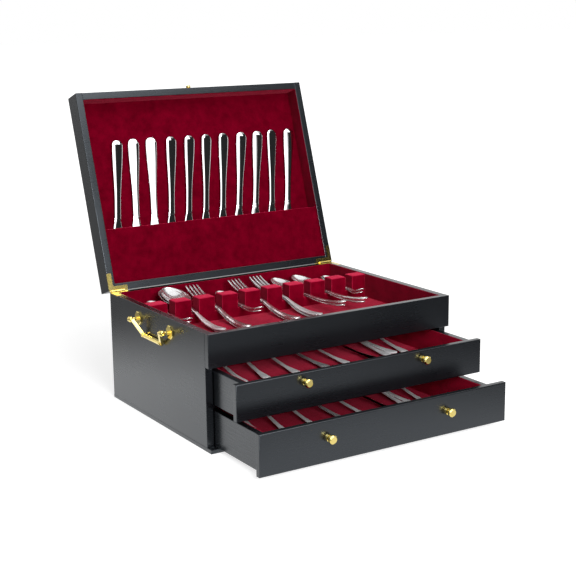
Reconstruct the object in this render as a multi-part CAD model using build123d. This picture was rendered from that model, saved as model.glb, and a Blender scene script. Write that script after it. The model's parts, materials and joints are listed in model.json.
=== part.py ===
from build123d import *
import math
import os

# Silverware chest. X runs left to right, Y from front to back, Z up; millimetres.
# The origin is the centre of the base's underside.

# Case
case_width = 450.0
case_depth = 341.0
case_height = 183.0
side_thickness = 12.0
back_thickness = 10.0
base_thickness = 6.5
base_lip = 2.0
front_thickness = 10.0
front_gap = 0.4
apron_height = 52.0
divider_thickness = 4.0
tray_floor_thickness = 4.0
tray_depth = 42.5
dado_depth = 3.0
edge_round = 0.8

# Velvet
velvet = 1.0
velvet_drop = 0.4
velvet_round = 2.0
soft_gap = 0.3

# Slotted racks
slot_count = 9
slot_pitch = 44.0
slot_width = 16.3
rack_depth = 24.0
rack_setback = 217.0
tray_bar_height = 15.5
drawer_bar_height = 9.5
drawer_rack_height = 34.0
rack_drop = 0.4

# Drawers
drawer_clearance = 0.3
drawer_side_gap = 1.0
drawer_board = 11.0
drawer_back_gap = 3.0
drawer_bottom_thickness = 3.0
drawer_groove = 3.0
front_reveal = 1.0
front_round = 1.6
upper_front_height = 55.0
upper_side_height = 53.5
upper_floor_rise = 9.5
upper_pull = 80.6
upper_knob_drop = 14.0
lower_front_height = 63.0
lower_side_height = 55.5
lower_floor_rise = 1.5
lower_pull = 142.2
lower_knob_drop = 26.0

# Turned knobs
knob_spacing = 218.0
knob_foot_radius = 5.6
knob_foot = 2.6
knob_neck_radius = 3.2
knob_neck = 4.2
knob_head_radius = 6.6
knob_head = 6.4
knob_round = 1.6
knob_stud_radius = 1.8
knob_stud = 7.0
stud_clearance = 0.05

# Lid
lid_height = 35.6
lid_gap = 0.4
lid_frame = 12.0
lid_top_thickness = 6.0
lid_top_rebate = 5.0
lid_open_angle = 108.1
lid_knob_scale = 0.62

# Knife pocket and knives in the lid
pocket_height = 92.0
pocket_thickness = 3.0
pocket_recess = 2.0
knife_count = 11
knife_pitch = 34.6
knife_lean = 10.5
knife_top = 262.0
knife_length = 240.0
knife_handle = 108.0
knife_end_radius = 10.0
knife_waist_radius = 5.2
knife_blade_radius = 8.2
knife_shoulder = 57.0
knife_handle_thickness = 6.6
knife_blade_thickness = 2.0
rib_width = 5.0
rib_margin = 8.0

# Hinges
leaf_thickness = 1.8
leaf_width = 8.0
leaf_back_leg = 34.0
leaf_side_leg = 30.0
knuckle_radius = 2.6
knuckle_length = 8.0
knuckle_gap = 0.3
knuckle_inset = 3.0
pin_radius = 1.2
pin_clearance = 0.05
axis_outset = 1.0
hinge_relief = 0.4
heel_width = 5.0
heel_length = 8.0
heel_thickness = 1.4
stop_gap = 0.06
hinge_screw_radius = 1.2
hinge_screw_head_radius = 2.4
hinge_screw_length = 8.0
hinge_screw_end_inset = 5.0
hinge_screw_corner_inset = 14.0

# Lift handles
handle_spacing = 110.6
handle_height = 161.4
handle_offset = 5.0
rosette_flat = 21.0
rosette_thickness = 2.6
rosette_chamfer = 0.9
post_radius = 3.0
post_reach = 15.0
eye_radius = 4.6
handle_stud_radius = 2.4
handle_stud_length = 9.0
bail_drop = 24.6
bail_pin_radius = 1.6
bail_pin_clearance = 0.06
bail_side_gap = 0.4
bail_wall_gap = 0.3
bail_arm_width = 5.0
bail_arm_thickness = 4.4
grip_length = 60.0
grip_radius = 3.4
collar_radius = 4.2
collar_length = 4.0

# Flatware
steel = 2.0
bowl_wall = 1.5
table_neck = 38.0
drawer_neck = 28.0
neck_overlap = 3.0
neck_radius = 2.6
handle_radius = 8.5
handle_sag = 4.0
long_handle_reach = 112.0
short_handle_reach = 40.0
table_handle_reach = 92.0
fork_handle_reach = 70.0
drawer_handle_reach = 108.0
fork_head_length = 62.0
fork_head_width = 25.0
tine_length = 44.0
tine_gap = 3.2
spoon_bowl_length = 66.0
spoon_bowl_width = 41.0
spoon_bowl_depth = 8.5
teaspoon_bowl_length = 44.0
teaspoon_bowl_width = 29.0
teaspoon_bowl_depth = 6.0
serving_bowl_length = 72.0
serving_bowl_width = 47.0
serving_bowl_depth = 11.0
butter_blade_length = 58.0
butter_blade_width = 17.0
stack_gap = 0.4

# Places that follow from the sizes above
half_width = case_width / 2
front_y = -case_depth / 2
back_y = case_depth / 2
inner_x = half_width - side_thickness
panel_front_y = front_y + front_thickness + front_gap
back_inner_y = back_y - back_thickness
apron_bottom = case_height - apron_height
tray_floor_top = case_height - tray_depth
tray_floor_bottom = tray_floor_top - tray_floor_thickness
lining_x = inner_x - velvet
tray_velvet_top = tray_floor_top + velvet
lower_front_bottom = base_thickness + front_reveal
lower_front_top = lower_front_bottom + lower_front_height
upper_front_bottom = lower_front_top + front_reveal
upper_front_top = upper_front_bottom + upper_front_height
divider_top = upper_front_bottom - drawer_clearance
lower_side_bottom = base_thickness + drawer_clearance
upper_side_bottom = divider_top + drawer_clearance
drawer_outer_x = inner_x - drawer_side_gap
drawer_inner_x = drawer_outer_x - drawer_board
drawer_front_inner_y = front_y + front_thickness
drawer_back_y = back_inner_y - drawer_back_gap
rack_front_y = front_y + rack_setback
lid_bottom = case_height + lid_gap
lid_top = lid_bottom + lid_height
lid_inner_x = half_width - lid_frame
hinge_y = back_y + axis_outset
hinge_z = case_height + lid_gap / 2
hinge_axis = Axis((0, hinge_y, hinge_z), (1, 0, 0))


def block(x0, x1, y0, y1, z0, z1):
    size = Box(x1 - x0, y1 - y0, z1 - z0)
    return Pos((x0 + x1) / 2, (y0 + y1) / 2, (z0 + z1) / 2) * size


def rounded(part, edges, radius):
    return fillet(edges, radius) if radius > 0 else part


def rod(radius, start, axis, length):
    plane = Plane(origin=start, z_dir=axis)
    return extrude(plane * Circle(radius), length)


def save(name, *solids):
    part = solids[0] if len(solids) == 1 else Compound(children=list(solids))
    export_step(part, os.path.join("parts", name + ".step"))


def opened(part):
    return part.rotate(hinge_axis, -lid_open_angle)


# Hinges ------------------------------------------------------------------


def leaf_plan(side, z):
    """Closed outline of an L-shaped leaf, seen from above, at height z."""
    corner_x = side * half_width
    back_leg = (corner_x - side * leaf_back_leg, corner_x)
    side_leg = (corner_x - side * leaf_width, corner_x)
    back = block(min(back_leg), max(back_leg), back_y - leaf_width, back_y, z, z + leaf_thickness)
    flank = block(min(side_leg), max(side_leg), back_y - leaf_side_leg, back_y, z, z + leaf_thickness)
    return back + flank


def knuckle_spans(side):
    """The three barrel lengths along X, outermost first."""
    spans = []
    start = half_width - knuckle_inset
    for _ in range(3):
        spans.append(sorted((side * start, side * (start - knuckle_length))))
        start -= knuckle_length + knuckle_gap
    return spans


def knuckle(span, z0):
    """One barrel with the tongue that joins it to a leaf lying from z0 upward."""
    barrel = rod(knuckle_radius, (span[0], hinge_y, hinge_z), (1, 0, 0), span[1] - span[0])
    tongue = block(span[0], span[1], back_y - knuckle_radius, hinge_y, z0, z0 + leaf_thickness)
    return barrel + tongue


def pin_rod(side, radius):
    """Round bar along all three barrels of one hinge."""
    spans = knuckle_spans(side)
    ends = sorted(spans[0] + spans[2])
    return rod(radius, (ends[0], hinge_y, hinge_z), (1, 0, 0), ends[-1] - ends[0])


def cut_to_hinge(part, side, z0, own_spans):
    """Clear a leaf or a board round the barrels that turn past it."""
    for number, span in enumerate(knuckle_spans(side)):
        if number not in own_spans:
            start = (span[0] - hinge_relief, hinge_y, hinge_z)
            length = span[1] - span[0] + 2 * hinge_relief
            part -= rod(knuckle_radius + hinge_relief, start, (1, 0, 0), length)
    return part


def screw_places(side):
    """Screw centres on one leaf: two on the back leg and one on the side leg."""
    far_x = half_width - leaf_back_leg + hinge_screw_end_inset
    near_x = half_width - hinge_screw_corner_inset
    row_y = back_y - leaf_width / 2
    flank_y = back_y - leaf_side_leg + hinge_screw_end_inset
    flank_x = half_width - leaf_width / 2
    return [(side * far_x, row_y), (side * near_x, row_y), (side * flank_x, flank_y)]


def countersunk_screw(place, z, direction):
    """Screw whose head lies flush at height z and whose shank points along direction."""
    taper = hinge_screw_head_radius - hinge_screw_radius
    head = Cone(hinge_screw_head_radius, hinge_screw_radius, taper)
    shank = Cylinder(hinge_screw_radius, hinge_screw_length - taper)
    body = Pos(0, 0, taper / 2) * head + Pos(0, 0, (hinge_screw_length + taper) / 2) * shank
    turn = 0 if direction > 0 else 180
    return Pos(place[0], place[1], z) * Rot(turn, 0, 0) * body


def leaf_screws(side, z, direction):
    return [countersunk_screw(place, z, direction) for place in screw_places(side)]


def heel_span(side):
    start = half_width - knuckle_inset - 3 * (knuckle_length + knuckle_gap) - knuckle_gap
    return sorted((side * start, side * (start - heel_width)))


def heel_plate(side):
    """Tab on the lid leaf that lies on the lid's back and lands on the stop."""
    span = heel_span(side)
    return block(span[0], span[1], back_y, back_y + heel_thickness, lid_bottom, lid_bottom + heel_length)


def stop_bracket(side):
    """Bracket behind the case; its sloped top meets the heel at the open angle."""
    angle = math.radians(lid_open_angle)
    along = (math.sin(angle), math.cos(angle))
    outward = (math.cos(angle), -math.sin(angle))
    offset = heel_thickness - axis_outset + stop_gap
    near = (outward[0] * offset + along[0], outward[1] * offset + along[1])
    reach = heel_length - 1
    far = (outward[0] * offset + along[0] * reach, outward[1] * offset + along[1] * reach)
    foot = -heel_length - 2
    points = [(-axis_outset, foot), (heel_thickness - axis_outset, foot), far, near, (-axis_outset, near[1])]
    span = heel_span(side)
    plane = Plane(origin=(span[0], hinge_y, hinge_z), x_dir=(0, 1, 0), z_dir=(1, 0, 0))
    return extrude(plane * make_face(Polyline(*points, close=True)), span[1] - span[0])


def body_leaf(side):
    z = case_height - leaf_thickness
    leaf = cut_to_hinge(leaf_plan(side, z), side, z, (0, 2))
    spans = knuckle_spans(side)
    leaf += knuckle(spans[0], z) + knuckle(spans[2], z)
    for screw in leaf_screws(side, case_height, -1):
        leaf -= screw
    return leaf - pin_rod(side, pin_radius + pin_clearance) + stop_bracket(side)


def lid_leaf(side):
    leaf = cut_to_hinge(leaf_plan(side, lid_bottom), side, lid_bottom, (1,))
    leaf += knuckle(knuckle_spans(side)[1], lid_bottom)
    for screw in leaf_screws(side, lid_bottom, 1):
        leaf -= screw
    return leaf - pin_rod(side, pin_radius + pin_clearance) + heel_plate(side)


def let_in_hinge(board, side, z, face, direction):
    """Mortise a board for one leaf, its screws and the barrels."""
    board -= leaf_plan(side, z)
    for screw in leaf_screws(side, face, direction):
        board -= screw
    return cut_to_hinge(board, side, z, ())


# Case ----------------------------------------------------------------------


def outer_edges(part, axis, value):
    """Edges that lie wholly on the plane where the given axis has this value."""
    return [e for e in part.edges() if all(abs(getattr(v, axis) - value) < 1e-6 for v in e.vertices())]


def base_plate():
    plate = block(-half_width, half_width, front_y - base_lip, back_y, 0, base_thickness)
    return fillet(outer_edges(plate, "Y", front_y - base_lip), edge_round)


def divider():
    x = inner_x + dado_depth
    return block(-x, x, panel_front_y, back_inner_y, divider_top - divider_thickness, divider_top)


def tray_floor():
    x = inner_x + dado_depth
    return block(-x, x, panel_front_y, back_inner_y, tray_floor_bottom, tray_floor_top)


def side_panel(side):
    x0, x1 = sorted((side * inner_x, side * half_width))
    panel = block(x0, x1, panel_front_y, back_y, base_thickness, case_height)
    outer = outer_edges(panel, "X", side * half_width)
    top_and_back = [e for e in outer if e.center().Z > case_height - 1 or e.center().Y > back_y - 1]
    panel = fillet(top_and_back, edge_round)
    panel -= divider() + tray_floor()
    panel = let_in_hinge(panel, side, case_height - leaf_thickness, case_height, -1)
    for post_y in handle_places():
        hole_start = (side * (half_width + 1), post_y, handle_height)
        radius = handle_stud_radius + stud_clearance
        panel -= rod(radius, hole_start, (-side, 0, 0), handle_stud_length + 1 + stud_clearance)
    return panel


def back_panel():
    panel = block(-inner_x, inner_x, back_inner_y, back_y, base_thickness, case_height)
    for side in (-1, 1):
        panel = let_in_hinge(panel, side, case_height - leaf_thickness, case_height, -1)
    return panel


def apron():
    board = block(-half_width, half_width, front_y, panel_front_y, apron_bottom, case_height)
    return fillet(outer_edges(board, "Y", front_y), edge_round)


def lining(x, y0, y1, z0, z1):
    """Velvet glued to a floor and to the four walls round it."""
    outside = block(-x, x, y0, y1, z0, z1)
    return outside - block(-x + velvet, x - velvet, y0 + velvet, y1 - velvet, z0 + velvet, z1 + 1)


def rack_bar(x, floor, height):
    return block(-x, x, rack_front_y, rack_front_y + rack_depth, floor, floor + height)


def rack_blocks(x, bottom, top):
    """Velvet blocks; the slots between them hold the necks of the flatware."""
    blocks = []
    first_slot = -(slot_count - 1) / 2 * slot_pitch
    left = -x
    for number in range(slot_count + 1):
        right = first_slot + number * slot_pitch - slot_width / 2
        if number == slot_count:
            right = x
        solid = block(left, right, rack_front_y, rack_front_y + rack_depth, bottom, top)
        long_edges = solid.edges().filter_by(Axis.X).group_by(Axis.Z)[-1]
        blocks.append(fillet(long_edges, velvet_round))
        left = right + slot_width
    return blocks


# Lift handles --------------------------------------------------------------


def handle_places():
    return (handle_offset - handle_spacing / 2, handle_offset + handle_spacing / 2)


def octagon(flat):
    return RegularPolygon(flat / 2, 8, major_radius=False, rotation=22.5)


def handle_post(side, post_y):
    """Eight-sided rosette, round post, drilled ball and the stud in the panel."""
    face = Plane(origin=(side * half_width, post_y, handle_height), z_dir=(side, 0, 0))
    rosette = extrude(face * octagon(rosette_flat), rosette_thickness)
    rosette = chamfer(outer_edges(rosette, "X", side * (half_width + rosette_thickness)), rosette_chamfer)
    post = extrude(face * Circle(post_radius), post_reach)
    stud = extrude(face * Circle(handle_stud_radius), -handle_stud_length)
    eye_centre = Pos(side * (half_width + post_reach), post_y, handle_height)
    waist = eye_centre * Rot(90, 0, 0) * Cylinder(eye_radius, 2 * eye_radius)
    eye = waist & (eye_centre * Sphere(eye_radius * 1.15))
    bore_start = (side * (half_width + post_reach), post_y - 2 * eye_radius, handle_height)
    bore = rod(bail_pin_radius + bail_pin_clearance, bore_start, (0, 1, 0), 4 * eye_radius)
    return rosette + post + stud + eye - bore


def bail_lean():
    """Angle from hanging straight down at which the collars meet the panel."""
    room = post_reach - collar_radius - bail_wall_gap
    return math.degrees(math.asin(room / bail_drop))


def bail(side):
    """Hanging grip with two collars, sloping arms and the pins in the eyes."""
    x = side * (half_width + post_reach)
    grip_start = handle_offset - grip_length / 2
    grip_plane = Plane(origin=(x, grip_start, handle_height - bail_drop), z_dir=(0, 1, 0))
    part = extrude(grip_plane * octagon(2 * grip_radius), grip_length)
    axis_x = x - side * bail_arm_thickness / 2
    arm_plane = Plane(origin=(axis_x, handle_offset, handle_height), x_dir=(0, side, 0), z_dir=(side, 0, 0))
    for end in (-1, 1):
        top = handle_spacing / 2 - eye_radius - bail_side_gap
        foot = grip_length / 2 + collar_length / 2
        outline = make_hull(
            (
                Pos(end * (top - bail_arm_width / 2), 0) * Circle(bail_arm_width / 2)
                + Pos(end * foot, -bail_drop) * Circle(bail_arm_width / 2)
            ).edges()
        )
        part += extrude(arm_plane * outline, bail_arm_thickness)
        collar_y = handle_offset + end * grip_length / 2
        collar_start = (x, collar_y - collar_length / 2, handle_height - bail_drop)
        part += rod(collar_radius, collar_start, (0, 1, 0), collar_length)
        pin_start = (x, handle_offset + end * (top - bail_arm_width / 2), handle_height)
        pin_length = bail_arm_width / 2 + bail_side_gap + 1.6 * eye_radius
        part += rod(bail_pin_radius, pin_start, (0, end, 0), pin_length)
    axis = Axis((x, handle_offset, handle_height), (0, 1, 0))
    return part.rotate(axis, side * bail_lean())


# Knobs ---------------------------------------------------------------------


def knob(scale=1.0):
    """Turned brass knob standing along -Y from the origin, with its stud behind."""
    foot = knob_foot * scale
    neck = foot + knob_neck * scale
    head = neck + knob_head * scale
    foot_radius = knob_foot_radius * scale
    waist_radius = knob_neck_radius * scale
    head_radius = knob_head_radius * scale
    curve = knob_round * scale
    outline = Polyline(
        (0, 0),
        (foot_radius, 0),
        (foot_radius, foot),
        (waist_radius, foot + curve / 2),
        (waist_radius, neck - curve / 2),
        (head_radius, neck + curve / 2),
        (head_radius, head - curve),
        (head_radius - curve, head),
        (0, head),
        close=True,
    )
    turned = revolve(make_face(outline), Axis.Y)
    stud = rod(knob_stud_radius * scale, (0, 0, 0), (0, -1, 0), knob_stud)
    return (turned + stud).rotate(Axis.X, 180)


def knob_hole(x, y, z, scale=1.0):
    radius = knob_stud_radius * scale + stud_clearance
    return rod(radius, (x, y - 1, z), (0, 1, 0), knob_stud + 1 + stud_clearance)


# Flatware ------------------------------------------------------------------


def hull_of(*circles):
    """Straight-sided outline round circles given as (y, radius)."""
    outline = Sketch()
    for y, radius in circles:
        outline += Pos(0, y) * Circle(radius)
    return make_hull(outline.edges())


def side_ribbon(reach, head_end):
    """Side view of a stamped piece: sagging handle with its end up, straight head."""
    under = ThreePointArc((-reach, 0), (-reach / 2, -handle_sag), (0, 0))
    over = ThreePointArc((-reach, steel), (-reach / 2, steel - handle_sag), (0, steel))
    closing = [
        Line((0, 0), (head_end, 0)),
        Line((head_end, 0), (head_end, steel)),
        Line((head_end, steel), (0, steel)),
        Line((-reach, steel), (-reach, 0)),
    ]
    face = make_face(under.edges() + over.edges() + [line.edge() for line in closing])
    plane = Plane(origin=(-60, 0, 0), x_dir=(0, 1, 0), z_dir=(1, 0, 0))
    return extrude(plane * face, 120)


def stamped(plan, reach, head_end):
    blank = extrude(Plane(origin=(0, 0, -10)) * plan, 30)
    return blank & side_ribbon(reach, head_end)


def handle_plan(reach, neck):
    blade = hull_of((-reach + handle_radius, handle_radius), (0, neck_radius))
    return blade + Pos(0, neck / 2) * Rectangle(2 * neck_radius, neck)


def fork(reach, neck):
    """Four-tined fork, head towards +Y, underside of the neck on z = 0."""
    base = neck + fork_head_width / 2
    tip = neck + fork_head_length
    plan = handle_plan(reach, neck) + hull_of((neck, neck_radius), (base, fork_head_width / 2))
    plan += Pos(0, (base + tip) / 2) * Rectangle(fork_head_width, tip - base)
    tine_pitch = (fork_head_width + tine_gap) / 4
    for number in (-1, 0, 1):
        slot = SlotOverall(2 * tine_length, tine_gap, rotation=90)
        plan -= Pos(number * tine_pitch, tip) * slot
    return stamped(plan, reach, tip)


def bowl(length, width, depth):
    """Spoon bowl with its rim on z = 0, centred on the origin."""
    lift = ((width / 2) ** 2 + depth**2) / (2 * depth) - depth
    arc = ThreePointArc((-length / 2, 0), (0, -depth), (length / 2, 0))
    walls = Polyline((length / 2, 0), (length / 2, lift), (-length / 2, lift), (-length / 2, 0))
    plane = Plane(origin=(0, 0, 0), x_dir=(0, 1, 0), z_dir=(1, 0, 0))
    profile = plane * make_face([arc.edge()] + list(walls.edges()))
    barrel = revolve(profile, Axis((0, 0, lift), (0, 1, 0)))
    lens = barrel & block(-width, width, -length, length, -2 * depth, 0)
    return lens - Pos(0, 0, bowl_wall) * lens


def spoon(reach, neck, length, width, depth):
    tip = neck + neck_overlap
    tongue = Pos(0, neck + neck_overlap / 2) * Rectangle(2 * neck_radius, neck_overlap)
    handle = stamped(handle_plan(reach, neck) + tongue, reach, tip)
    return handle + Pos(0, neck + length / 2, steel) * bowl(length, width, depth)


def table_spoon(reach, neck):
    return spoon(reach, neck, spoon_bowl_length, spoon_bowl_width, spoon_bowl_depth)


def teaspoon(reach, neck):
    return spoon(reach, neck, teaspoon_bowl_length, teaspoon_bowl_width, teaspoon_bowl_depth)


def serving_spoon(reach, neck):
    return spoon(reach, neck, serving_bowl_length, serving_bowl_width, serving_bowl_depth)


def butter_knife(reach, neck):
    radius = butter_blade_width / 2
    start = neck + radius
    tip = neck + butter_blade_length
    plan = handle_plan(reach, neck) + hull_of((neck, neck_radius), (start, radius), (tip - radius, radius))
    return stamped(plan, reach, tip)


def place_ware(piece, slot, floor, bar_height, reach, rise, level=0):
    """Lay a piece with its neck in a slot, its handle's end lower by rise."""
    tilt = math.degrees(math.asin(rise / reach))
    x = (slot - (slot_count - 1) / 2) * slot_pitch
    lifted = Pos(0, 0, level * (steel + stack_gap)) * piece
    return Pos(x, rack_front_y, floor + bar_height + soft_gap) * Rot(tilt, 0, 0) * lifted


def tray_pair(kind, slot, reach, rise):
    """Two like pieces, one upon the other, in one slot of the tray."""
    piece = kind(reach, table_neck)
    return [place_ware(piece, slot, tray_velvet_top, tray_bar_height, reach, rise, level) for level in (0, 1)]


def table_knife():
    """Knife with its handle towards +Y, centred on its length and thickness."""
    top = knife_length / 2
    waist = top - knife_handle
    shoulder = waist - knife_shoulder
    tip = -top + knife_blade_radius
    grip_plan = hull_of((top - knife_end_radius, knife_end_radius), (waist, knife_waist_radius))
    half = knife_handle_thickness / 2
    grip_side = hull_of((top - half, half), (waist, knife_blade_thickness))
    depth = 4 * knife_end_radius
    grip = extrude(Plane(origin=(0, 0, -depth / 2)) * grip_plan, depth)
    side_plane = Plane(origin=(-depth / 2, 0, 0), x_dir=(0, 0, -1), z_dir=(1, 0, 0))
    grip = grip & extrude(side_plane * grip_side, depth)
    blade_plan = hull_of((waist, knife_waist_radius), (shoulder, knife_blade_radius))
    blade_plan += hull_of((shoulder, knife_blade_radius), (tip, knife_blade_radius))
    blade = extrude(Plane(origin=(0, 0, -knife_blade_thickness / 2)) * blade_plan, knife_blade_thickness)
    return grip + blade


# Drawers -------------------------------------------------------------------


class Drawer:
    """One drawer's heights and how far it stands open."""

    def __init__(self, name, front, side, floor_rise, knob_drop, pull):
        self.name = name
        self.front_bottom, self.front_top = front
        self.side_bottom, self.side_top = side
        self.floor_bottom = self.side_bottom + floor_rise
        self.floor_top = self.floor_bottom + drawer_bottom_thickness
        self.velvet_top = self.floor_top + velvet
        self.knob_height = self.front_top - knob_drop
        self.pull = pull

    def save(self, label, *solids):
        moved = [Pos(0, -self.pull, 0) * solid for solid in solids]
        save(self.name + "_" + label, *moved)

    def bottom(self):
        x = drawer_inner_x + drawer_groove
        front = drawer_front_inner_y - drawer_groove
        back = drawer_back_y - drawer_board + drawer_groove
        return block(-x, x, front, back, self.floor_bottom, self.floor_top)

    def front(self):
        board = block(-half_width, half_width, front_y, drawer_front_inner_y, self.front_bottom, self.front_top)
        board = fillet(outer_edges(board, "Y", front_y), front_round) - self.bottom()
        for side in (-1, 1):
            board -= knob_hole(side * knob_spacing / 2, front_y, self.knob_height)
        return board

    def side(self, side):
        x0, x1 = sorted((side * drawer_inner_x, side * drawer_outer_x))
        board = block(x0, x1, drawer_front_inner_y, drawer_back_y, self.side_bottom, self.side_top)
        return board - self.bottom()

    def back(self):
        x = drawer_inner_x
        y = drawer_back_y - drawer_board
        board = block(-x, x, y, drawer_back_y, self.side_bottom, self.side_top)
        return board - self.bottom()

    def lining(self):
        back = drawer_back_y - drawer_board
        top = self.side_top - velvet_drop
        return lining(drawer_inner_x, drawer_front_inner_y, back, self.floor_top, top)

    def ware(self, kind, slots):
        """One piece of a kind in each of the given slots."""
        piece = kind(drawer_handle_reach, drawer_neck)
        floor = self.velvet_top
        bar = drawer_bar_height
        return [place_ware(piece, slot, floor, bar, drawer_handle_reach, bar - handle_sag) for slot in slots]

    def build(self):
        self.save("front", self.front())
        self.save("side_left", self.side(-1))
        self.save("side_right", self.side(1))
        self.save("back", self.back())
        self.save("bottom", self.bottom())
        self.save("lining", self.lining())
        inside = drawer_inner_x - velvet
        slot_floor = self.velvet_top + drawer_bar_height
        self.save("rack_bar", rack_bar(inside, self.velvet_top, drawer_bar_height))
        self.save("rack_blocks", *rack_blocks(inside, slot_floor, self.velvet_top + drawer_rack_height))
        places = [Pos(side * knob_spacing / 2, front_y, self.knob_height) for side in (-1, 1)]
        self.save("knobs", *[place * knob() for place in places])
        self.save("spoons", *self.ware(table_spoon, (1, 2, 3, 5)))
        self.save("forks", *self.ware(fork, (4, 7)))
        self.save("butter_knives", *self.ware(butter_knife, (6, 8)))


# Lid -----------------------------------------------------------------------


def lid_top_panel():
    x = lid_inner_x + lid_top_rebate
    front = front_y + lid_frame - lid_top_rebate
    back = back_y - lid_frame + lid_top_rebate
    return block(-x, x, front, back, lid_top - lid_top_thickness, lid_top)


def lid_side(side):
    x0, x1 = sorted((side * lid_inner_x, side * half_width))
    board = block(x0, x1, front_y, back_y, lid_bottom, lid_top)
    board = fillet(outer_edges(board, "X", side * half_width), edge_round) - lid_top_panel()
    return let_in_hinge(board, side, lid_bottom, lid_bottom, 1)


def lid_front():
    board = block(-lid_inner_x, lid_inner_x, front_y, front_y + lid_frame, lid_bottom, lid_top)
    board -= lid_top_panel()
    return board - knob_hole(0, front_y, (lid_bottom + lid_top) / 2, lid_knob_scale)


def lid_back():
    board = block(-lid_inner_x, lid_inner_x, back_y - lid_frame, back_y, lid_bottom, lid_top)
    board -= lid_top_panel()
    for side in (-1, 1):
        board = let_in_hinge(board, side, lid_bottom, lid_bottom, 1)
    return board


def lid_lining():
    """Velvet on the inside of the lid, open towards the case."""
    front = front_y + lid_frame
    back = back_y - lid_frame
    top = lid_top - lid_top_thickness
    outside = block(-lid_inner_x, lid_inner_x, front, back, lid_bottom + velvet_drop, top)
    x = lid_inner_x - velvet
    return outside - block(-x, x, front + velvet, back - velvet, lid_bottom, top - velvet)


pocket_back_y = back_y - lid_frame - velvet
pocket_front_y = pocket_back_y - pocket_height
pocket_bottom = lid_bottom + pocket_recess
pocket_top = pocket_bottom + pocket_thickness
lid_velvet_top = lid_top - lid_top_thickness - velvet
knife_middle = knife_top - knife_length / 2 * math.cos(math.radians(knife_lean))


def knife_pocket():
    x = lid_inner_x - velvet
    return block(-x, x, pocket_front_y, pocket_back_y, pocket_bottom, pocket_top)


def lid_row(number, count, distance):
    """Place in the lid of one member of a leaning row, at a distance from the hinge."""
    x = (number - (count - 1) / 2) * knife_pitch
    x += (distance - knife_middle) * math.tan(math.radians(knife_lean))
    return Pos(x, hinge_y - distance, 0) * Rot(0, 0, knife_lean)


def pocket_ribs():
    """Slanted padded strips behind the pocket that keep the knives apart."""
    length = (pocket_height - 2 * rib_margin) / math.cos(math.radians(knife_lean))
    distance = hinge_y - (pocket_front_y + pocket_back_y) / 2
    rib = block(-rib_width / 2, rib_width / 2, -length / 2, length / 2, pocket_top, lid_velvet_top)
    return [lid_row(number, knife_count - 1, distance) * rib for number in range(knife_count - 1)]


def table_knives():
    height = lid_velvet_top - soft_gap - knife_handle_thickness / 2
    knife = Pos(0, 0, height) * Rot(0, 0, 180) * table_knife()
    return [lid_row(number, knife_count, knife_middle) * knife for number in range(knife_count)]


# Everything is written out as it stands in the rest pose -------------------

os.makedirs("parts", exist_ok=True)

save("base_plate", base_plate())
save("back_panel", back_panel())
save("front_apron", apron())
save("drawer_divider", divider())
save("tray_floor", tray_floor())
save("tray_lining", lining(inner_x, panel_front_y, back_inner_y, tray_floor_top, case_height - velvet_drop))
tray_slot_floor = tray_velvet_top + tray_bar_height
save("tray_rack_bar", rack_bar(lining_x, tray_velvet_top, tray_bar_height))
save("tray_rack_blocks", *rack_blocks(lining_x, tray_slot_floor, case_height - rack_drop))
save("hinge_pins", pin_rod(-1, pin_radius), pin_rod(1, pin_radius))
body_screw_solids = leaf_screws(-1, case_height, -1) + leaf_screws(1, case_height, -1)
save("hinge_screws_case", *body_screw_solids)

for side, label in ((-1, "left"), (1, "right")):
    save("side_panel_" + label, side_panel(side))
    save("hinge_leaf_case_" + label, body_leaf(side))
    save("hinge_leaf_lid_" + label, opened(lid_leaf(side)))
    save("lid_side_" + label, opened(lid_side(side)))
    save("handle_posts_" + label, *[handle_post(side, y) for y in handle_places()])
    save("bail_" + label, bail(side))

tray_rest = tray_bar_height - handle_sag
tray_teaspoons = tray_pair(teaspoon, 0, table_handle_reach, 0)
tray_teaspoons += tray_pair(teaspoon, 3, table_handle_reach, 0)
tray_teaspoons += tray_pair(teaspoon, 8, short_handle_reach, 0)
save("tray_teaspoons", *tray_teaspoons)
save("tray_serving_spoons", *tray_pair(serving_spoon, 1, table_handle_reach, tray_rest))
tray_forks = tray_pair(fork, 2, fork_handle_reach, tray_rest)
tray_forks += tray_pair(fork, 4, fork_handle_reach, tray_rest)
tray_forks += tray_pair(fork, 5, table_handle_reach, tray_rest)
save("tray_forks", *tray_forks)
tray_spoons = tray_pair(table_spoon, 6, long_handle_reach, tray_rest)
tray_spoons += tray_pair(table_spoon, 7, long_handle_reach, tray_rest)
save("tray_spoons", *tray_spoons)

save("lid_top_panel", opened(lid_top_panel()))
save("lid_front", opened(lid_front()))
save("lid_back", opened(lid_back()))
save("lid_lining", opened(lid_lining()))
save("knife_pocket", opened(knife_pocket()))
save("knife_pocket_ribs", *[opened(rib) for rib in pocket_ribs()])
save("table_knives", *[opened(knife) for knife in table_knives()])
lid_knob_place = Pos(0, front_y, (lid_bottom + lid_top) / 2)
save("lid_knob", opened(lid_knob_place * knob(lid_knob_scale)))
lid_screw_solids = leaf_screws(-1, lid_bottom, 1) + leaf_screws(1, lid_bottom, 1)
save("hinge_screws_lid", *[opened(screw) for screw in lid_screw_solids])

Drawer(
    "upper",
    (upper_front_bottom, upper_front_top),
    (upper_side_bottom, upper_side_bottom + upper_side_height),
    upper_floor_rise,
    upper_knob_drop,
    upper_pull,
).build()
Drawer(
    "lower",
    (lower_front_bottom, lower_front_top),
    (lower_side_bottom, lower_side_bottom + lower_side_height),
    lower_floor_rise,
    lower_knob_drop,
    lower_pull,
).build()
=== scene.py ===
import bmesh
import bpy
import json
import math
from mathutils import Matrix, Vector


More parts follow.
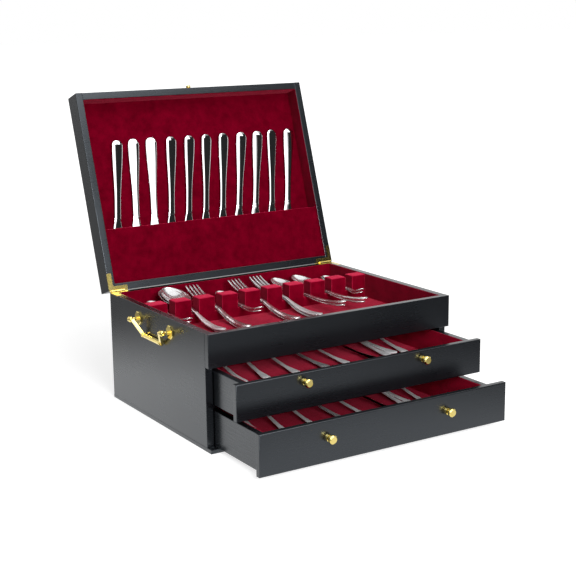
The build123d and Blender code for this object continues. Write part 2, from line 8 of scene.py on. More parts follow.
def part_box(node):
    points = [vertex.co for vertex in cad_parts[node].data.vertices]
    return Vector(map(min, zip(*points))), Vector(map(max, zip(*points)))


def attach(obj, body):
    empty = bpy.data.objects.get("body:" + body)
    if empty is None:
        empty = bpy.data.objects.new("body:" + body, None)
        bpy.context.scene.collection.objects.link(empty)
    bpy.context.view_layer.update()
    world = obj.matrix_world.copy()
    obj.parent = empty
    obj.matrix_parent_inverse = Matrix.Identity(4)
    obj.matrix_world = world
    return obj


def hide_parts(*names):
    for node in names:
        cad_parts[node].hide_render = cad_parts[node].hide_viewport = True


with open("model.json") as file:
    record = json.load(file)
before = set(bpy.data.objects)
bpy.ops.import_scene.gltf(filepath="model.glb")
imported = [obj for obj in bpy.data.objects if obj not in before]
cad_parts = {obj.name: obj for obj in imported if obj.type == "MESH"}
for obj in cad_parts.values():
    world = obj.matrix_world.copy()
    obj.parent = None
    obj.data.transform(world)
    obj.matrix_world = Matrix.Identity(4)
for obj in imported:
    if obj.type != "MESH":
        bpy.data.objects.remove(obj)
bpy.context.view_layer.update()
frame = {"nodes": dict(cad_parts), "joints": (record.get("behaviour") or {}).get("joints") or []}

scene = bpy.context.scene
nodes = frame["nodes"]


def corners(node):
    return [[round(value, 6) for value in corner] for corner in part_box(node)]


sideBoard = corners("side_panel_left")
caseSize = {
    "halfWidth": -sideBoard[0][0],
    "frontY": corners("front_apron")[0][1],
    "backY": sideBoard[1][1],
    "height": sideBoard[1][2],
    "wall": sideBoard[1][0] - sideBoard[0][0],
}

# heights of the lid when it is closed
lidSize = {
    "bottom": 0.1834,
    "height": 0.0356,
    "panel": 0.006,
    "liningLift": 0.0004,  # velvet's edge above the lid's rim
}

lidHinge = next(joint for joint in frame["joints"] if joint["name"] == "lid_hinge")
hingeLine = Vector(lidHinge["pos_m"])
openAngle = lidHinge["range_deg"][1]

meshWork = {
    "merge": 1e-6,
    "mergeCad": 2e-6,
    "flat": 0.3,  # degrees under which CAD facets are one face
    "level": 1e-5,  # a face this near a height lies on it
    "normalWeight": 80,
}


def deselectAll():
    active = bpy.context.view_layer.objects.active
    if active and active.mode != "OBJECT":
        bpy.ops.object.mode_set(mode="OBJECT")
    bpy.ops.object.select_all(action="DESELECT")


def pick(*objects):
    deselectAll()
    for obj in objects:
        obj.select_set(True)
    bpy.context.view_layer.objects.active = objects[0]


def enterEdit(obj, mode="EDGE"):
    pick(obj)
    bpy.ops.object.mode_set(mode="EDIT")
    bpy.ops.mesh.select_mode(type=mode)


def leaveEdit():
    bpy.ops.object.mode_set(mode="OBJECT")


def selectWhere(obj, kind, test):
    # in edit mode: select exactly the elements that pass the test
    bpy.ops.mesh.select_all(action="DESELECT")
    mesh = bmesh.from_edit_mesh(obj.data)
    for element in getattr(mesh, kind):
        if test(element):
            element.select_set(True)
    mesh.select_flush_mode()
    bmesh.update_edit_mesh(obj.data)


def applyModifier(obj, kind, **settings):
    pick(obj)
    modifier = obj.modifiers.new(kind.title(), kind)
    for key, value in settings.items():
        setattr(modifier, key, value)
    bpy.ops.object.modifier_apply(modifier=modifier.name)


def smooth(obj, degrees, weighted=True):
    pick(obj)
    bpy.ops.object.shade_smooth_by_angle(angle=math.radians(degrees))
    if weighted:
        weight = meshWork["normalWeight"]
        applyModifier(obj, "WEIGHTED_NORMAL", keep_sharp=True, weight=weight)


def outward(obj):
    enterEdit(obj, "VERT")
    bpy.ops.mesh.select_all(action="SELECT")
    bpy.ops.mesh.remove_doubles(threshold=meshWork["merge"])
    bpy.ops.mesh.normals_make_consistent(inside=False)
    leaveEdit()


def joinAll(name, parts):
    pick(*parts)
    if len(parts) > 1:
        bpy.ops.object.join()
    obj = bpy.context.view_layer.objects.active
    obj.name = name
    return obj


def settle(obj):
    pick(obj)
    bpy.ops.object.transform_apply(location=True, rotation=True, scale=True)
    return obj


def duplicateOf(obj, name):
    twin = bpy.data.objects.new(name, obj.data.copy())
    scene.collection.objects.link(twin)
    return twin


def cadCopy(node):
    # merged, cleaned copy of a CAD node's mesh
    obj = duplicateOf(nodes[node], node + "Dressed")
    obj.data.materials.clear()
    pick(obj)
    if obj.data.has_custom_normals:
        bpy.ops.mesh.customdata_custom_splitnormals_clear()
    enterEdit(obj, "VERT")
    bpy.ops.mesh.select_all(action="SELECT")
    bpy.ops.mesh.remove_doubles(threshold=meshWork["mergeCad"])
    bpy.ops.mesh.dissolve_limited(angle_limit=math.radians(meshWork["flat"]))
    leaveEdit()
    return obj


def lidTurn():
    # from the closed lid to the open one
    turn = Matrix.Rotation(math.radians(-openAngle), 4, "X")
    return Matrix.Translation(hingeLine) @ turn @ Matrix.Translation(-hingeLine)


def finishPiece(obj, body, material, slot, *replaced):
    obj.data.materials.clear()
    obj.data.materials.append(material)
    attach(obj, body)
    if replaced:
        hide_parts(*replaced)
    return obj


def accent(obj, material, test):
    # a second finish on the faces that pass the test
    obj.data.materials.append(material)
    for face in obj.data.polygons:
        if test(face):
            face.material_index = len(obj.data.materials) - 1


class Signal:
    # a node's output that Python's arithmetic can be done on
    def __init__(self, tree, socket):
        self.tree = tree
        self.socket = socket

    def math(self, operation, *values):
        node = self.tree.nodes.new("ShaderNodeMath")
        node.operation = operation
        for place, value in enumerate(values):
            if isinstance(value, Signal):
                self.tree.links.new(value.socket, node.inputs[place])
            else:
                node.inputs[place].default_value = value
        return Signal(self.tree, node.outputs[0])

    def __add__(self, other):
        return self.math("ADD", self, other)

    __radd__ = __add__

    def __mul__(self, other):
        return self.math("MULTIPLY", self, other)

    __rmul__ = __mul__

    def __sub__(self, other):
        return self.math("SUBTRACT", self, other)

    def __rsub__(self, other):
        return self.math("SUBTRACT", other, self)

    def __truediv__(self, other):
        return self.math("DIVIDE", self, other)

    def __pow__(self, other):
        return self.math("POWER", self, other)

    def clamped(self):
        return self.math("MINIMUM", self.math("MAXIMUM", self, 0.0), 1.0)

    def above(self, level):
        return self.math("GREATER_THAN", self, level)

    def larger(self, other):
        return self.math("MAXIMUM", self, other)

    def wave(self):
        return self.math("SINE", self)

    def rise(self, low, high):
        # 0 below low, 1 above high, straight between
        return ((self - low) / (high - low)).clamped()

    def about(self, amount):
        # a noise about its middle, times an amount
        return (self - 0.5) * amount


class Finish:
    # a material, or the world, and the one way its nodes are made
    def __init__(self, name, owner=None):
        self.owner = owner or bpy.data.materials.new(name)
        self.owner.use_nodes = True
        self.tree = self.owner.node_tree
        self.tree.nodes.clear()

    def node(self, kind, settings=None, output=0, **sockets):
        made = self.tree.nodes.new("ShaderNode" + kind)
        for key, value in (settings or {}).items():
            setattr(made, key, value)
        for key, value in sockets.items():
            place = int(key[1:]) if key[0] == "_" else key.replace("_", " ")
            socket = made.inputs[place]
            if isinstance(value, Signal):
                self.tree.links.new(value.socket, socket)
            else:
                socket.default_value = value
        return Signal(self.tree, made.outputs[output]) if len(made.outputs) else made

    def place(self):
        return self.node("TexCoord", output="Object")

    def noise(self, vector, scale, detail, rough=0.5):
        return self.node("TexNoise", Vector=vector, Scale=scale, Detail=detail, Roughness=rough)

    def mapped(self, vector, scale=(1, 1, 1), turn=(0, 0, 0)):
        return self.node("Mapping", Vector=vector, Scale=scale, Rotation=turn)

    def axes(self, vector):
        return [self.node("SeparateXYZ", output=name, Vector=vector) for name in "XYZ"]

    def blend(self, factor, first, second):
        return self.node("Mix", {"data_type": "RGBA"}, output=2, _0=factor, _6=first, _7=second)

    def bump(self, height, strength, distance):
        return self.node("Bump", Height=height, Strength=strength, Distance=distance)

    def surface(self, **sockets):
        self.node("OutputMaterial", Surface=self.node("BsdfPrincipled", **sockets))
        return self.owner


def grey(value):
    return (value, value, value, 1.0)


# in each look, a noise is its scale, its detail and, where it isn't 0.5, its roughness
lacquerLook = {
    "colour": (0.0030, 0.0032, 0.0042, 1.0),
    "dust": (0.022, 0.023, 0.027, 1.0),
    "tint": (0.78, 0.89, 1.0, 1.0),
    "roughness": 0.28,
    "ior": 1.6,
    "coat": 0.35,
    "coatRoughness": 0.24,
    "coatIor": 1.5,
    "grainStretch": (9.0, 9.0, 240.0),
    "grain": (3.0, 3.0),
    "cloud": (9.0, 3.0),
    "peel": (620.0, 2.0),
    "speck": (900.0, 1.0),
    "speckAbove": 0.735,
    "speckShare": 0.5,
    "scuffStretch": (40.0, 40.0, 900.0),
    "scuff": (1.0, 4.0),
    "scuffAbove": 0.70,
    "scuffShare": 0.12,
    "cloudRough": 0.12,
    "grainRough": 0.06,
    "marksRough": 0.2,
    "bump": 0.10,
    "bumpDepth": 0.0004,
    "bumpPeel": 0.35,
}


def makeLacquer(name, turn=(0, 0, 0)):
    # satin black over fine long grain, with dust specks and rubbed streaks
    look = lacquerLook
    finish = Finish(name)
    place = finish.mapped(finish.place(), turn=turn)
    grain = finish.noise(finish.mapped(place, scale=look["grainStretch"]), *look["grain"])
    cloud = finish.noise(place, *look["cloud"])
    peel = finish.noise(place, *look["peel"])
    speck = finish.noise(place, *look["speck"]).above(look["speckAbove"])
    streaks = finish.mapped(place, scale=look["scuffStretch"])
    scuff = finish.noise(streaks, *look["scuff"]).above(look["scuffAbove"])
    marks = (speck * look["speckShare"] + scuff * look["scuffShare"]).clamped()
    rough = look["roughness"] + cloud.about(look["cloudRough"]) + grain.about(look["grainRough"])
    height = peel * look["bumpPeel"] + grain * (1 - look["bumpPeel"])
    return finish.surface(
        Base_Color=finish.blend(marks, look["colour"], look["dust"]),
        Roughness=rough + marks * look["marksRough"],
        IOR=look["ior"],
        Specular_Tint=look["tint"],
        Coat_Weight=look["coat"],
        Coat_Roughness=look["coatRoughness"],
        Coat_IOR=look["coatIor"],
        Normal=finish.bump(height, look["bump"], look["bumpDepth"]),
    )


# for each velvet, the deep colour of its pile and the bright one along the nap; the drawer set is a
# brighter copy of the tray's (painted light) and the lid set a darker one (painted shade)
velvetLook = {
    "tray": ((0.088, 0.0, 0.0052, 1.0), (0.215, 0.0010, 0.0140, 1.0)),
    "drawer": ((0.135, 0.0, 0.0078, 1.0), (0.325, 0.0014, 0.0205, 1.0)),
    "lid": ((0.068, 0.0, 0.0042, 1.0), (0.165, 0.0006, 0.0110, 1.0)),
    # painted highlight: this lighter velvet goes on lit block tops, block corners and the pocket's
    # top edge
    "wearAndPaintedHighlight": ((0.300, 0.006, 0.030, 1.0), (0.480, 0.020, 0.060, 1.0)),
    "sheen": (1.0, 0.085, 0.16, 1.0),
    "sheenSpread": 0.34,
    "nap": (34.0, 4.0, 0.6),
    "streakStretch": (1.0, 0.3, 1.0),
    "streak": (90.0, 3.0),
    "pile": (2600.0, 2.0),
    "tone": 0.18,
    "napTone": 1.1,
    "streakTone": 0.8,
    "pileTone": 0.5,
    "bump": 0.5,
    "bumpDepth": 0.0004,
    "bumpPile": 0.7,
}


def makeVelvet(name, sheen, colours):
    # dark face-on, bright along the nap; brushed patches and fine pile
    look = velvetLook
    finish = Finish(name)
    deep, bright = look[colours]
    place = finish.place()
    nap = finish.noise(place, *look["nap"])
    streak = finish.noise(finish.mapped(place, scale=look["streakStretch"]), *look["streak"])
    pile = finish.noise(place, *look["pile"])
    tone = look["tone"] + nap.about(look["napTone"]) + streak.about(look["streakTone"])
    tone = (tone + pile * look["pileTone"]).clamped()
    height = pile * look["bumpPile"] + nap * (1 - look["bumpPile"])
    return finish.surface(
        Base_Color=finish.blend(tone, deep, bright),
        Roughness=1.0,
        Specular_IOR_Level=0.0,
        Sheen_Weight=sheen,
        Sheen_Roughness=look["sheenSpread"],
        Sheen_Tint=look["sheen"],
        Normal=finish.bump(height, look["bump"], look["bumpDepth"]),
    )


brassLook = {
    "colour": (0.86, 0.64, 0.13, 1.0),
    "wearAndPaintedHighlight": (0.98, 0.84, 0.36, 1.0),
    "roughness": 0.17,
    "cloud": (120.0, 3.0),
    "fineStretch": (1.0, 6.0, 1.0),
    "fine": (900.0, 3.0),
    "fineRough": 0.12,
    "bump": 0.12,
    "bumpDepth": 0.0002,
}


def makeBrass():
    look = brassLook
    finish = Finish("polishedBrass")
    place = finish.place()
    cloud = finish.noise(place, *look["cloud"])
    fine = finish.noise(finish.mapped(place, scale=look["fineStretch"]), *look["fine"])
    return finish.surface(
        Base_Color=finish.blend(cloud, look["colour"], look["wearAndPaintedHighlight"]),
        Metallic=1.0,
        Roughness=look["roughness"] + fine.about(look["fineRough"]),
        Normal=finish.bump(cloud, look["bump"], look["bumpDepth"]),
    )


steelLook = {
    "dark": (0.78, 0.78, 0.79, 1.0),
    "light": (0.92, 0.92, 0.93, 1.0),
    "engraved": (0.20, 0.20, 0.21, 1.0),
    "cloud": (60.0, 2.0),
    "fineStretch": (9.0, 1.0, 1.0),
    "fine": (260.0, 3.0),
    "fineRough": 0.08,
    "bump": 0.05,
    "bumpDepth": 0.0003,
    "bumpFine": 0.4,
    "lattice": 1300.0,  # radians of the engraved lattice to a metre
    "slant": 0.6,
    "latticeEdge": 0.25,
    "latticeBump": 0.7,
}


def makeSteel(name, roughness, metal=1.0, engraved=False):
    look = steelLook
    finish = Finish(name)
    place = finish.place()
    cloud = finish.noise(place, *look["cloud"])
    fine = finish.noise(finish.mapped(place, scale=look["fineStretch"]), *look["fine"])
    height, strength = fine * look["bumpFine"] + cloud * (1 - look["bumpFine"]), look["bump"]
    tone, dark = cloud, look["dark"]
    if engraved:
        x, y = finish.axes(place)[:2]
        there, back = x + y * look["slant"], x - y * look["slant"]
        lattice = (there * look["lattice"]).wave() * (back * look["lattice"]).wave()
        height, strength = lattice * 0.5 + 0.5, look["latticeBump"]
        tone, dark = lattice.rise(-look["latticeEdge"], look["latticeEdge"]), look["engraved"]
    return finish.surface(
        Base_Color=finish.blend(tone, dark, look["light"]),
        Metallic=metal,
        Roughness=roughness + fine.about(look["fineRough"]),
        Normal=finish.bump(height, strength, look["bumpDepth"]),
    )


lacquer = makeLacquer("blackLacquer")
lacquerBare = makeLacquer("blackLacquerInner", turn=(0, math.radians(90), 0))
trayVelvet = makeVelvet("crimsonVelvetTray", 1.0, "tray")
# painted light: the drawers' velvet is a brighter copy of the tray's
drawerVelvetPaintedLight = makeVelvet("crimsonVelvetDrawer", 1.0, "drawer")
# painted shade: the lid's velvet is a darker copy of the tray's, with half the sheen
lidVelvetPaintedShade = makeVelvet("crimsonVelvetLid", 0.5, "lid")
# painted highlight: the lighter velvet for lit tops and edges
paintedHighlightVelvet = makeVelvet("crimsonVelvetEdge", 1.0, "wearAndPaintedHighlight")
brass = makeBrass()
steel = makeSteel("mirrorSteel", 0.05)
tableSteel = makeSteel("tableSteel", 0.16, metal=0.9)
satinSteel = makeSteel("satinSteel", 0.30, metal=0.75)
# painted reflection: nearly unmetallic steel whose pale colour stands in for the bright reflections
# on the drawers' flatware
paleSteel = makeSteel("paleSteel", 0.40, metal=0.12)
wovenSteel = makeSteel("patternedSteel", 0.30, metal=0.45, engraved=True)
print("finishes ready")


# the boards are the CAD boards with every long edge eased
boardWork = {
    "ease": 0.0007,
    "shortest": 0.045,  # edges below this length stay as cut
    "sharp": 50,
    "segments": 3,
    "smoothTo": 40,
}


def easedBoard(node):
    obj = cadCopy(node)
    enterEdit(obj)
    shortest, sharp = boardWork["shortest"], math.radians(boardWork["sharp"])
    selectWhere(
        obj,
        "edges",
        lambda e: len(e.link_faces) == 2 and e.calc_length() > shortest
        and e.is_convex and e.calc_face_angle(0) > sharp,
    )
    bpy.ops.mesh.bevel(
        offset=boardWork["ease"],
        segments=boardWork["segments"],
        affect="EDGES",
        clamp_overlap=False,
    )
    leaveEdit()
    smooth(obj, boardWork["smoothTo"])
    return obj


def dressBoards():
    caseBoards = ("base_plate", "back_panel", "front_apron", "side_panel_left", "side_panel_right")
    lidBoards = ("lid_top_panel", "lid_front", "lid_back", "lid_side_left", "lid_side_right")
    boards = [(node, "cabinet") for node in caseBoards] + [(node, "lid") for node in lidBoards]
    for level in ("upper", "lower"):
        for part in ("front", "side_left", "side_right", "back"):
            boards.append((level + "_" + part, "drawer_" + level))
    for node, body in boards:
        finishPiece(easedBoard(node), body, lacquer, "lacquered_wood", node)
    for node in ("drawer_divider", "tray_floor", "upper_bottom", "lower_bottom"):
        nodes[node].data.materials.clear()
        nodes[node].data.materials.append(lacquerBare)


# painted shade: the near-black matt finish put on the back panel's top edge
shadeEdgeLook = {
    "dark": 0.002,
    "light": 0.006,
    "grain": (300.0, 2.0),
    "roughness": 0.95,
    "specular": 0.05,
    "depth": 0.002,  # down from the top edge
    "upward": 0.3,
}


def paintShadeOnTopEdge():
    # painted shade: the back panel's top edge gets a near-black matt finish that stands in for the
    # lid's shade on it
    look = shadeEdgeLook
    finish = Finish("bareEdge")
    grain = finish.noise(finish.place(), *look["grain"])
    shadeEdgeFinish = finish.surface(
        Base_Color=finish.blend(grain, grey(look["dark"]), grey(look["light"])),
        Roughness=look["roughness"],
        Specular_IOR_Level=look["specular"],
    )
    lowest = caseSize["height"] - look["depth"]
    accent(
        bpy.data.objects["back_panelDressed"],
        shadeEdgeFinish,
        lambda face: face.normal.z > look["upward"] and face.center.z > lowest,
    )


dressBoards()
paintShadeOnTopEdge()
print("boards dressed")


liningWork = {"cloth": 0.001, "corner": 0.0016, "foldSegments": 4, "smoothTo": 40}


def liningShell(name, low, high, openTop=True):
    # open box of cloth with rounded folds where its faces meet
    centre = [(a + b) / 2 for a, b in zip(low, high)]
    size = [b - a for a, b in zip(low, high)]
    deselectAll()
    bpy.ops.mesh.primitive_cube_add(size=1, location=centre, scale=size)
    obj = settle(bpy.context.object)
    obj.name = name
    enterEdit(obj, "FACE")
    mouth = high[2] if openTop else low[2]
    selectWhere(
        obj,
        "faces",
        lambda f: abs(f.calc_center_median().z - mouth) < meshWork["level"],
    )
    bpy.ops.mesh.delete(type="FACE")
    bpy.ops.mesh.select_mode(type="EDGE")
    selectWhere(obj, "edges", lambda e: len(e.link_faces) == 2)
    fold = liningWork["corner"] + liningWork["cloth"]
    bpy.ops.mesh.bevel(offset=fold, segments=liningWork["foldSegments"], affect="EDGES")
    leaveEdit()
    outward(obj)
    applyModifier(obj, "SOLIDIFY", thickness=liningWork["cloth"], offset=-1)
    smooth(obj, liningWork["smoothTo"])
    return obj


def declareLining(low, high, board):
    # the flat size and area of a lining cut with its corners out, folded up the walls and glued down;
    # worked out here and not used further
    width, length, deep = (b - a for a, b in zip(low, high))
    flat = (width + 2 * deep, length + 2 * deep)
    area = width * length + 2 * deep * (width + length)


def lineCaseAndDrawers():
    for node, body, cloth, board in (
        ("tray_lining", "cabinet", trayVelvet, "tray_floor"),
        ("upper_lining", "drawer_upper", drawerVelvetPaintedLight, "upper_bottom"),
        ("lower_lining", "drawer_lower", drawerVelvetPaintedLight, "lower_bottom"),
    ):
        low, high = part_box(node)
        shell = liningShell(node + "Cloth", low, high)
        finishPiece(shell, body, cloth, "velvet", node)
        declareLining(low, high, board)


def lidLiningTop():
    return lidSize["bottom"] + lidSize["height"] - lidSize["panel"]


def lineLid():
    # made in the closed lid, then turned open with it
    wall = caseSize["wall"]
    inside = caseSize["halfWidth"] - wall
    low = (-inside, caseSize["frontY"] + wall, lidSize["bottom"] + lidSize["liningLift"])
    high = (inside, caseSize["backY"] - wall, lidLiningTop())
    shell = liningShell("lidLiningCloth", low, high, openTop=False)
    shell.data.transform(lidTurn())
    finishPiece(shell, "lid", lidVelvetPaintedShade, "velvet", "lid_lining")
    declareLining(low, high, "lid_top_panelDressed")


lineCaseAndDrawers()
lineLid()
print("linings in")


rackWork = {
    "slots": 9,
    "pitch": 0.0437,
    "slot": 0.0134,
    "offset": 0.0018,  # middle slot to the right of the case's middle
    "round": 0.0022,
    "roundSegments": 5,
    "sharp": 1.0,  # radians
    "columnNear": 0.002,
    "flat": 0.9,
    "seated": 0.002,  # edges this near the floor stay square
    # these two pick the faces that get the painted highlight
    "paintedHighlightTop": 0.5,
    "paintedHighlightCorner": 0.55,
    "smoothTo": 40,
}


def slotCentre(slot):
    return rackWork["offset"] + (slot - (rackWork["slots"] - 1) / 2) * rackWork["pitch"]


def columnEdges(left, right):
    edges = [left]
    for slot in range(rackWork["slots"]):
        edges += [slotCentre(slot) + side * rackWork["slot"] / 2 for side in (-1, 1)]
    return edges + [right]


def slottedRack(name, bar, blocks):
    # a plank of columns whose block columns are drawn up past the slots
    low, middle, high = bar[0], blocks[0], blocks[1]
    edges = columnEdges(low[0], high[0])
    deselectAll()
    bpy.ops.mesh.primitive_grid_add(x_subdivisions=len(edges) - 1, y_subdivisions=1, size=2)
    obj = bpy.context.object
    obj.name = name
    for vertex in obj.data.vertices:
        column = round((vertex.co.x + 1) / 2 * (len(edges) - 1))
        y = low[1] if vertex.co.y < 0 else high[1]
        vertex.co = (edges[column], y, low[2])
    enterEdit(obj, "FACE")
    bpy.ops.mesh.select_all(action="SELECT")
    upToBar = {"value": (0, 0, middle[2] - low[2])}
    bpy.ops.mesh.extrude_region_move(TRANSFORM_OT_translate=upToBar)
    centres = [(a + b) / 2 for a, b in zip(edges[::2], edges[1::2])]

    def onBlock(face):
        centre = face.calc_center_median()
        onBar = abs(centre.z - middle[2]) < meshWork["level"]
        near = min(abs(centre.x - c) for c in centres) < rackWork["columnNear"]
        return onBar and near and abs(face.normal.z) > rackWork["flat"]

    selectWhere(obj, "faces", onBlock)
    upToTop = {"value": (0, 0, high[2] - middle[2])}
    bpy.ops.mesh.extrude_region_move(TRANSFORM_OT_translate=upToTop)
    leaveEdit()
    outward(obj)
    enterEdit(obj)
    selectWhere(
        obj,
        "edges",
        lambda e: len(e.link_faces) == 2 and e.calc_face_angle(0) > rackWork["sharp"]
        and e.is_convex and e.verts[0].co.z + e.verts[1].co.z > 2 * low[2] + rackWork["seated"],
    )
    bpy.ops.mesh.bevel(
        offset=rackWork["round"],
        segments=rackWork["roundSegments"],
        affect="EDGES",
        clamp_overlap=True,
    )
    leaveEdit()
    smooth(obj, rackWork["smoothTo"])
    return obj


def makeRacks():
    for level, body, cloth in (
        ("tray", "cabinet", trayVelvet),
        ("upper", "drawer_upper", drawerVelvetPaintedLight),
        ("lower", "drawer_lower", drawerVelvetPaintedLight),
    ):
        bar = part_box(level + "_rack_bar")
        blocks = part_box(level + "_rack_blocks")
        rack = slottedRack(level + "Rack", bar, blocks)
        finishPiece(rack, body, cloth, "velvet", level + "_rack_bar", level + "_rack_blocks")
        top = blocks[1][2] - rackWork["round"] - meshWork["level"]
        # painted highlight on the block tops and corners, where light falls on the pile
        accent(
            rack,
            paintedHighlightVelvet,
            lambda face: face.center.z > top and face.normal.z > rackWork["paintedHighlightTop"]
            or min(abs(face.normal.x), abs(face.normal.y)) > rackWork["paintedHighlightCorner"],
        )


makeRacks()
print("racks in")


# a handle lies along -Y from its slot and a head along +Y
handleSize = {
    "neck": 0.0026,
    "waistAt": 0.55,
    "drawIn": 0.85,
    "crown": 0.0014,
    "endAngle": 18,
    "rows": 22,
    "neckRows": 6,
}

trayBar = corners("tray_rack_bar")
rackDepth = trayBar[1][1] - trayBar[0][1]

layFit = {
    "lift": 0.0003,  # steel's height above what it rests on
    "stack": 0.0024,
}

hair = 1e-5  # least half width, so that no row of a strip closes to a point


def ease(t):
    t = min(max(t, 0.0), 1.0)
    return t * t * (3 - 2 * t)


def halfTurn(step):
    return [math.radians(angle) for angle in range(step, 181, step)]


def stripOf(name, rows, columns, shape):
    # a plank of rows and columns, each vertex set by shape(y, across)
    deselectAll()
    bpy.ops.mesh.primitive_grid_add(x_subdivisions=columns, y_subdivisions=len(rows) - 1, size=2)
    obj = bpy.context.object
    obj.name = name
    for vertex in obj.data.vertices:
        row = round((vertex.co.y + 1) / 2 * (len(rows) - 1))
        vertex.co = shape(rows[row], vertex.co.x)
    return obj


class Handle:
    # teardrop handle from a round end at -reach to the neck, level through the rack
    def __init__(self, reach, neck, end, waist, sag, endRise=0.0, tilt=0.0):
        self.reach = reach
        self.neck = neck
        self.end = end
        self.waist = waist
        self.sag = sag
        self.endRise = endRise
        self.slope = math.tan(math.radians(tilt))

    def rows(self):
        end, count, neckRows = self.end, handleSize["rows"], handleSize["neckRows"]
        angles = range(0, 91, handleSize["endAngle"])
        rows = [-self.reach + end * (1 - math.cos(math.radians(a))) for a in angles]
        rows += [-self.reach + end + (self.reach - end) * n / count for n in range(1, count + 1)]
        return rows + [self.neck * n / neckRows for n in range(1, neckRows + 1)]

    def width(self, y):
        end, narrow = self.end, handleSize["neck"]
        fromEnd = y + self.reach
        if fromEnd < end:
            return math.sqrt(max(end * end - (end - fromEnd) ** 2, 0.0)) + hair
        if y >= 0:
            return narrow
        middle = self.reach * (1 - handleSize["waistAt"])
        if fromEnd < middle:
            drawn = ease((fromEnd - end) / (middle - end)) ** handleSize["drawIn"]
            return end + (self.waist - end) * drawn
        return self.waist + (narrow - self.waist) * ease((fromEnd - middle) / (self.reach - middle))

    def rise(self, y):
        if y <= 0:
            along = -y / self.reach
            return self.endRise * along - 4 * self.sag * along * (1 - along)
        return max(y - rackDepth, 0.0) * self.slope

    def point(self, y, across):
        half = self.width(y)
        crown = handleSize["crown"] * half / self.end * (1 - across * across)
        return (across * half, y, self.rise(y) + crown)


easedEdge = {"width": 0.00045, "segments": 2, "sharp": 1.0}


def thicken(obj, thickness, rounded=True):
    # from a strip to a bar of steel, its edges rounded or only eased
    outward(obj)
    if sum(face.normal.z for face in obj.data.polygons) < 0:
        enterEdit(obj, "FACE")
        bpy.ops.mesh.select_all(action="SELECT")
        bpy.ops.mesh.flip_normals()
        leaveEdit()
    applyModifier(obj, "SOLIDIFY", thickness=thickness, offset=1)
    if rounded:
        applyModifier(obj, "SUBSURF", levels=1, render_levels=1)
    else:
        applyModifier(
            obj,
            "BEVEL",
            width=easedEdge["width"],
            segments=easedEdge["segments"],
            limit_method="ANGLE",
            angle_limit=easedEdge["sharp"],
        )
    pick(obj)
    bpy.ops.object.shade_smooth()


teaBowl = {"length": 0.044, "width": 0.029, "depth": 0.006}
tableBowl = {"length": 0.066, "width": 0.038, "depth": 0.0085}
servingBowl = {"length": 0.072, "width": 0.047, "depth": 0.011}

bowlWork = {
    "steel": 0.0017,
    "lip": 0.001,
    "taper": 0.10,  # narrower towards the tip
    "throat": -0.6,  # up to here the bowl is no narrower than the neck
    "hollow": 0.9,
    "rowAngle": 12,
    "columns": 12,
}


def makeSpoon(handle, length, width, depth):
    neck = handle.neck
    middle = neck + length / 2
    rows = handle.rows()
    rows += [middle - length / 2 * math.cos(angle) for angle in halfTurn(bowlWork["rowAngle"])]

    def shape(y, across):
        if y < neck:
            return handle.point(y, across)
        along = (y - middle) / (length / 2)
        room = max(1 - along * along, 0.0)
        half = width / 2 * math.sqrt(room) * (1 - bowlWork["taper"] * along) + hair
        if along < bowlWork["throat"]:
            half = max(half, handleSize["neck"])
        sink = depth * room ** bowlWork["hollow"] * (1 - across * across)
        return (across * half, y, handle.rise(y) + bowlWork["lip"] * room - sink)

    obj = stripOf("spoon", rows, bowlWork["columns"], shape)
    thicken(obj, bowlWork["steel"])
    return obj


forkHead = {"length": 0.062, "width": 0.025, "tines": 0.044, "gap": 0.0032}

forkWork = {
    "steel": 0.0019,
    "tineCount": 4,
    "crotch": 0.002,
    "spread": 1.15,  # how soon the shoulders reach full width
    "draw": 0.42,  # how far each tine narrows to its tip
    "bow": 0.0045,
    "tipRise": 0.001,
    "shoulderRows": 6,
    "tineRows": 10,
    "gapNear": 0.4,
}


def tineMarks(width, tine, gap):
    # where columns stand: both sides and the middle of every tine
    marks = [-width / 2]
    for number in range(forkWork["tineCount"]):
        marks += [marks[-1] + tine / 2, marks[-1] + tine]
        if number < forkWork["tineCount"] - 1:
            marks.append(marks[-1] + gap)
    return marks


def makeFork(handle, length, width, tines, gap):
    work = forkWork
    neck = handle.neck
    root = neck + length - tines
    crotch, count = work["crotch"], work["tineCount"]
    shoulderRows, tineRows = work["shoulderRows"], work["tineRows"]
    rows = handle.rows()
    rows += [neck + (root - neck) * n / shoulderRows for n in range(1, shoulderRows + 1)]
    rows += [root + crotch + (tines - crotch) * n / tineRows for n in range(tineRows + 1)]
    tine = (width - (count - 1) * gap) / count
    marks = tineMarks(width, tine, gap)
    narrow = handleSize["neck"]

    def shape(y, across):
        column = round((across + 1) / 2 * (len(marks) - 1))
        share = marks[column] / (width / 2)
        x, _, z = handle.point(y, share)
        if y > neck:
            opened = ease((y - neck) / (root - neck) * work["spread"])
            x = share * (narrow + (width / 2 - narrow) * opened)
        if y > root + crotch / 2:
            centre = -width / 2 + tine / 2 + min(column // 3, count - 1) * (tine + gap)
            x = centre + (x - centre) * (1 - work["draw"] * ease((y - root) / tines) ** 4)
        along = min(max(y - neck, 0.0) / length, 1.0)
        return (x, y, z - work["bow"] * math.sin(math.pi * along) + work["tipRise"] * along)

    obj = stripOf("fork", rows, len(marks) - 1, shape)
    gaps = [-width / 2 + (n + 1) * tine + (n + 0.5) * gap for n in range(count - 1)]
    near = gap * work["gapNear"]

    def inGap(face):
        centre = face.calc_center_median()
        return centre.y > root + crotch and min(abs(centre.x - g) for g in gaps) < near

    enterEdit(obj, "FACE")
    selectWhere(obj, "faces", inGap)
    bpy.ops.mesh.delete(type="FACE")
    leaveEdit()
    thicken(obj, work["steel"], rounded=False)
    return obj


butterBlade = {"length": 0.058, "width": 0.017}

butterWork = {
    "steel": 0.0018,
    "start": 0.12,  # how far round its curve the blade begins
    "belly": 0.55,
    "crown": 0.0004,
    "rowAngle": 12,
    "columns": 8,
}


